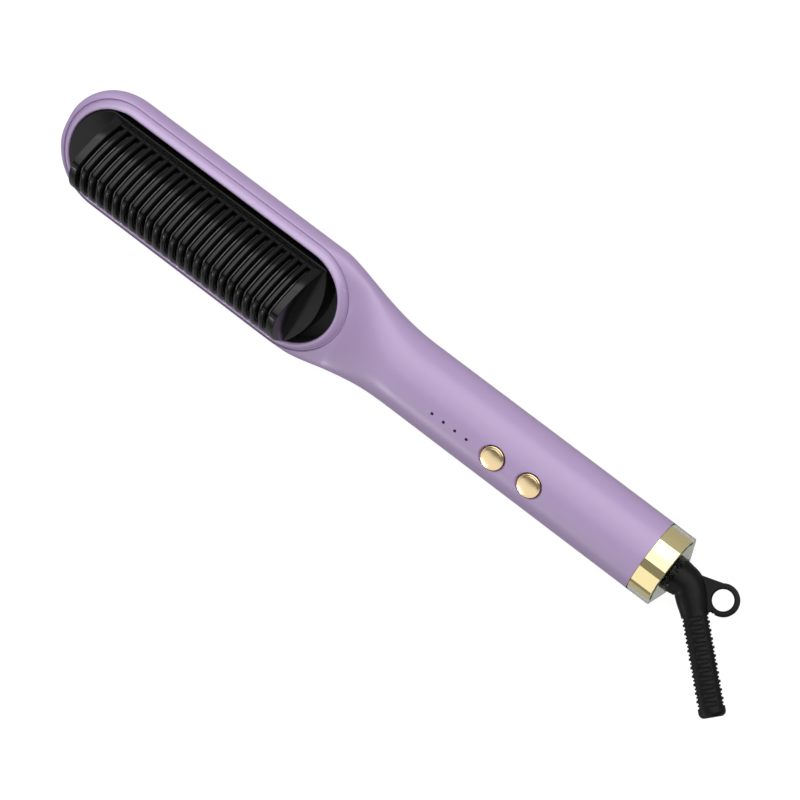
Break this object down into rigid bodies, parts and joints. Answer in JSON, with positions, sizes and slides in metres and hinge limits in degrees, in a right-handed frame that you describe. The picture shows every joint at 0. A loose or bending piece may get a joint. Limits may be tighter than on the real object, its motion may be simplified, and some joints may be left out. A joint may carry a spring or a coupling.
{
  "type": "heated straightening comb",
  "caption": "Heated straightening comb: a ribbed heating comb in an oval head, a round handle with two push buttons, a gold band under a clear collar and a swivelling cord boot with a hanging loop",
  "frame": {"origin": "the middle of the flat on the back of the head, on which the comb lies; mount rest_face", "axes": "+X runs along the handle's axis from the head to the cord end, +Z points out of the back through the head, so the comb's ribs point up, and +Y completes the right-handed set, towards the comb's long near flank. Metres."},
  "size_m": [0.3383, 0.057, 0.0455],
  "materials": {
    "lavender_shell": "satin-gloss moulded plastic, lavender",
    "lavender_trim": "glossy moulded plastic, lavender",
    "black_comb": "glossy heat-resistant plastic, black",
    "coated_aluminium": "aluminium with a black ceramic coat",
    "white_ceramic": "unglazed white ceramic",
    "amber_sheet": "amber insulating film",
    "steel": "zinc-plated steel",
    "black_inner": "matt heat-resistant plastic, black",
    "sensor_bead": "resin bead",
    "red_silicone": "silicone sleeve, red",
    "white_silicone": "silicone sleeve, white",
    "blue_silicone": "silicone sleeve, blue",
    "ivory_plastic": "uncoloured moulded plastic",
    "green_board": "glass-fibre board with green solder mask",
    "component_dark": "moulded component bodies",
    "lamp_resin": "lamp resin",
    "tinted_guide": "smoked clear plastic",
    "gold_plated": "plastic with a mirror-bright pale gold plating",
    "clear_resin": "clear plastic with a faint green tint",
    "brass_contact": "bright brass",
    "black_rubber": "satin flexible plastic, black"
  },
  "bodies": {
    "housing": {"main_housing": "lavender_shell", "back_cover": "lavender_shell", "rim_trim": "lavender_trim", "comb_guard": "black_comb", "heating_plate": "coated_aluminium", "heater_element": "white_ceramic", "insulation_sheet": "amber_sheet", "heater_clamp": "steel", "heater_screws": "steel", "inner_tray": "black_inner", "thermistor": "sensor_bead", "thermal_fuse": "white_ceramic", "heater_wires": "red_silicone", "sensor_wires": "white_silicone", "comb_screws": "steel", "cover_screws": "steel", "board_carrier": "ivory_plastic", "circuit_board": "green_board", "board_components": "component_dark", "board_screws": "steel", "led_lamps": "lamp_resin", "light_guide": "tinted_guide", "power_switch": "component_dark", "temperature_switch": "component_dark", "gold_band": "gold_plated", "clear_collar": "clear_resin", "end_plug": "black_inner", "swivel_retainer": "ivory_plastic", "swivel_contacts": "brass_contact", "mains_wires": "blue_silicone"},
    "power_key": {"power_button": "gold_plated", "power_plunger": "ivory_plastic"},
    "temperature_key": {"temperature_button": "gold_plated", "temperature_plunger": "ivory_plastic"},
    "cord_swivel": {"swivel_hub": "black_inner", "contact_rings": "brass_contact", "cord_boot": "black_rubber"}
  },
  "joints": [
    {"name": "power_press", "type": "slide", "parent": "housing", "child": "power_key", "axis": [0, 0, -1], "range_m": [0, 0.0005], "stiffness_N_per_m": 600},
    {"name": "temperature_press", "type": "slide", "parent": "housing", "child": "temperature_key", "axis": [0, 0, -1], "range_m": [0, 0.0005], "stiffness_N_per_m": 600},
    {"name": "cord_turn", "type": "hinge", "parent": "housing", "child": "cord_swivel", "pos_m": [0.2117, 0, 0.015], "axis": [1, 0, 0], "continuous": true}
  ]
}
